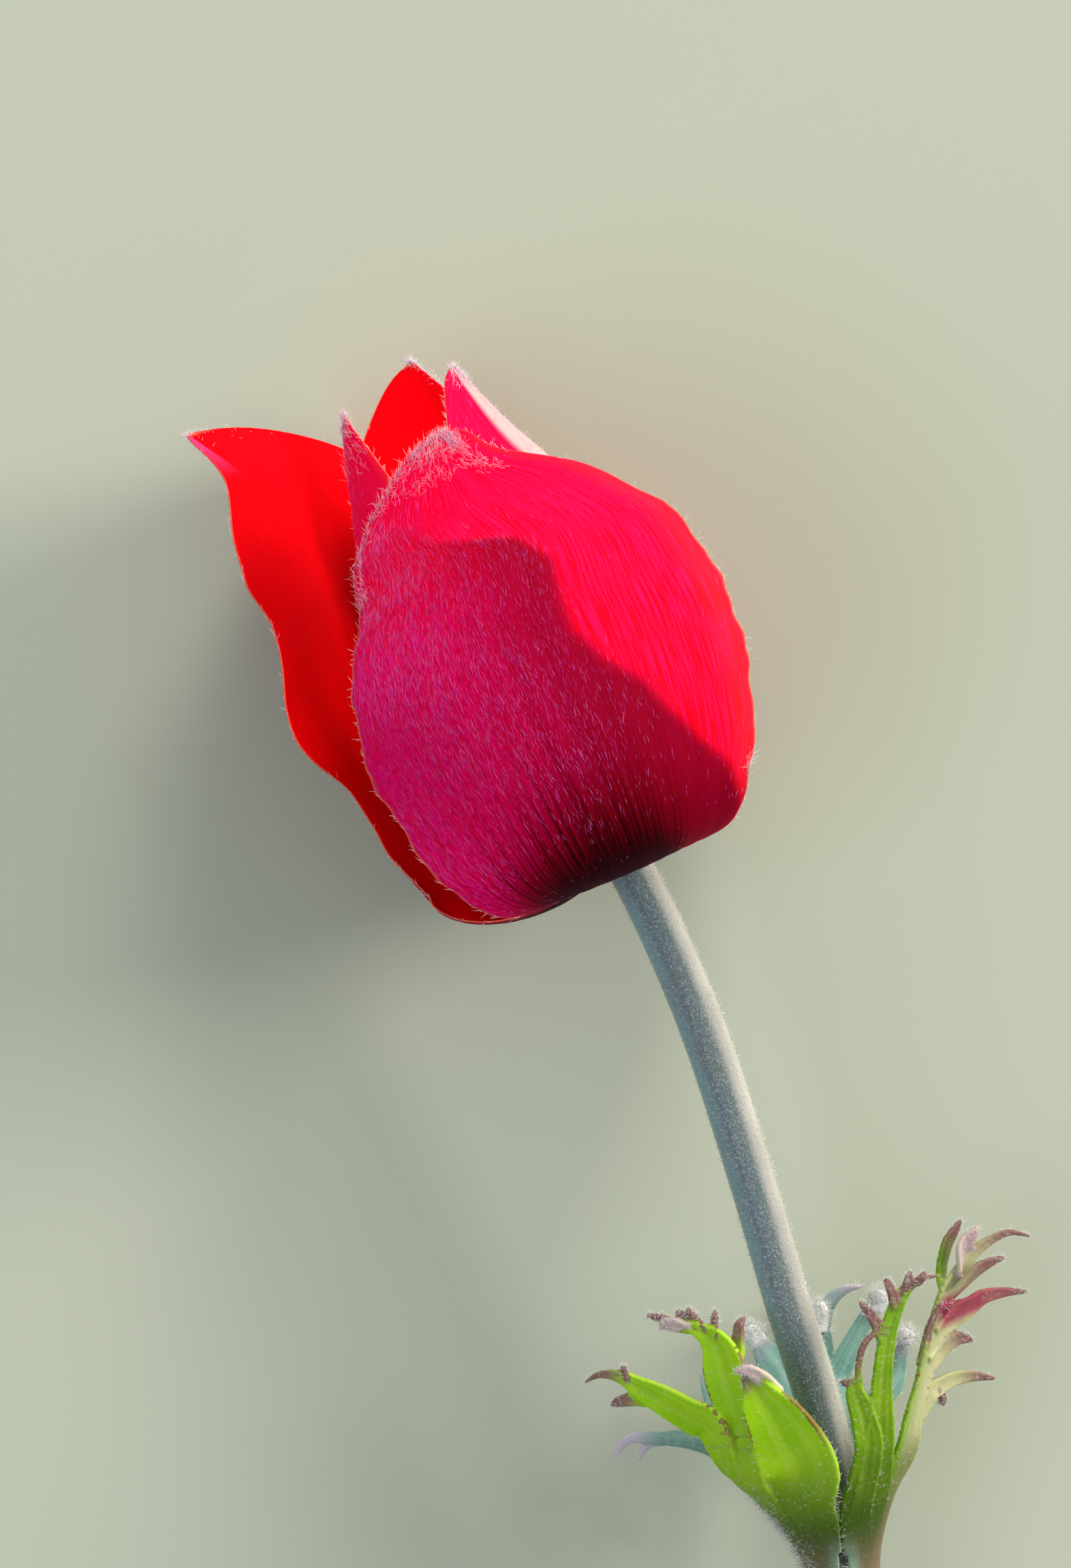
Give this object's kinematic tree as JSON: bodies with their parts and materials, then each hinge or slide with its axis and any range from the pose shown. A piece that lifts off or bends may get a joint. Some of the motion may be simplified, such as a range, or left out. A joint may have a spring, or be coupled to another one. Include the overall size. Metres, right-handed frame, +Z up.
{
  "type": "anemone flower",
  "caption": "Half-open red crown anemone, picked and lying down: hairy tepals in a nodding bloom on a downy stem with a whorl of deeply cut bracts.",
  "frame": {"origin": "on the surface that the flower lies on, under the middle of its bounding box", "axes": "+X to the flower's right, +Y from the cut end of the stem towards the bloom's top, +Z up from the surface"},
  "size_m": [0.06, 0.14, 0.0313],
  "materials": {
    "stem": "downy grey-green stalk, browner towards the cut",
    "tepal_outer_side": "crimson petal with silvery hairs lying along its veins",
    "tepal_inner_side": "smooth satin scarlet petal",
    "bract": "thin yellow-green leaf with brown downy teeth",
    "carpels": "near-black velvety dome",
    "anthers": "blue-black pollen grains, dry and matt"
  },
  "bodies": {
    "root": {"stem": "stem", "tepal_front": "tepal_outer_side", "tepal_left": "tepal_inner_side", "tepal_right": "tepal_outer_side", "tepal_inner_left": "tepal_outer_side", "tepal_inner_right": "tepal_outer_side", "tepal_back": "tepal_inner_side", "bract_left": "bract", "bract_right": "bract", "bract_back": "bract", "carpel_head": "carpels", "stamens": "anthers"}
  },
  "joints": []
}
